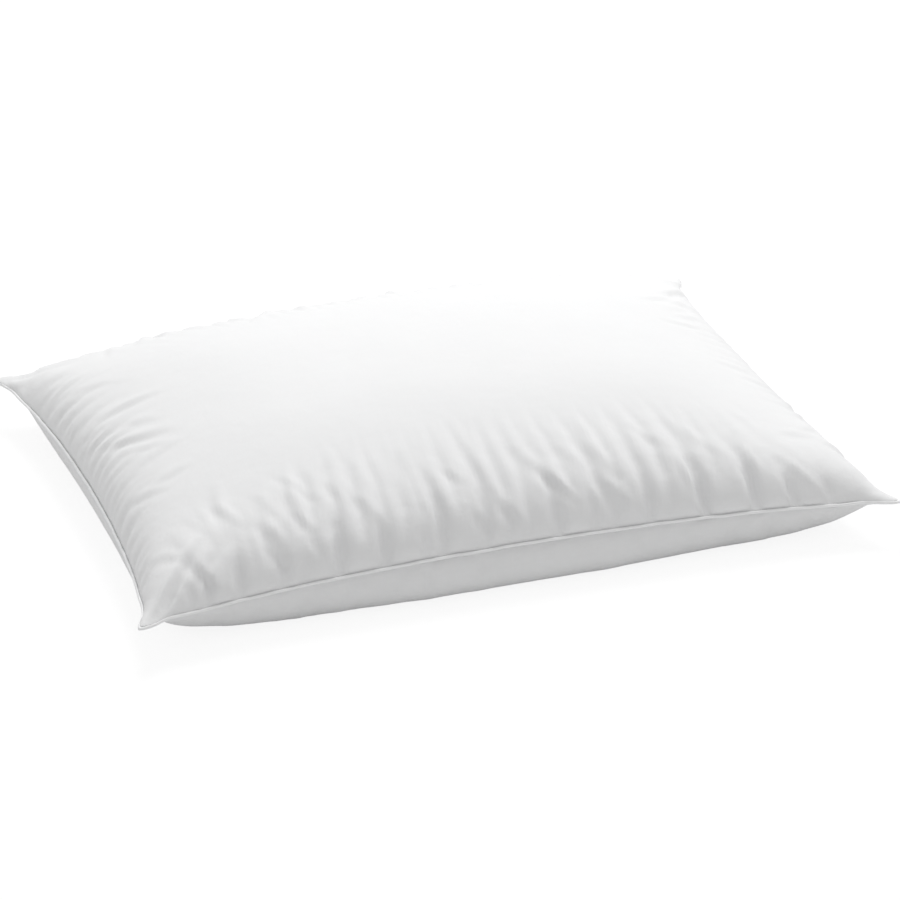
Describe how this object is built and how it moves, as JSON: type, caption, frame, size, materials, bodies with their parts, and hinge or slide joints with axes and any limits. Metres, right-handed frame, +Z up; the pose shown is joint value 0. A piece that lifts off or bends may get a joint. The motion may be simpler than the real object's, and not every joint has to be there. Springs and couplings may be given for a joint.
{
  "type": "bed pillow",
  "caption": "Rectangular filled bed pillow with a corded piping round its seam, lying flat.",
  "frame": {"origin": "on the floor under the middle of the pillow", "axes": "+X along the pillow's length, +Y from its front long side to its back long side, +Z up"},
  "size_m": [0.6956, 0.4956, 0.136],
  "materials": {
    "ticking": "close-woven white cotton, faint sheen",
    "feathers": "matt, off-white feathers and down",
    "piping": "white cotton bias strip",
    "cord": "twisted white cotton cord",
    "thread": "white spun polyester thread",
    "label": "white satin, blank"
  },
  "bodies": {
    "root": {"top_panel": "ticking", "bottom_panel": "ticking", "filling": "feathers", "piping_cover": "piping", "piping_cord": "cord", "seam_needle_thread": "thread", "seam_bobbin_thread": "thread", "closing_needle_thread": "thread", "closing_bobbin_thread": "thread", "care_label": "label"}
  },
  "joints": []
}
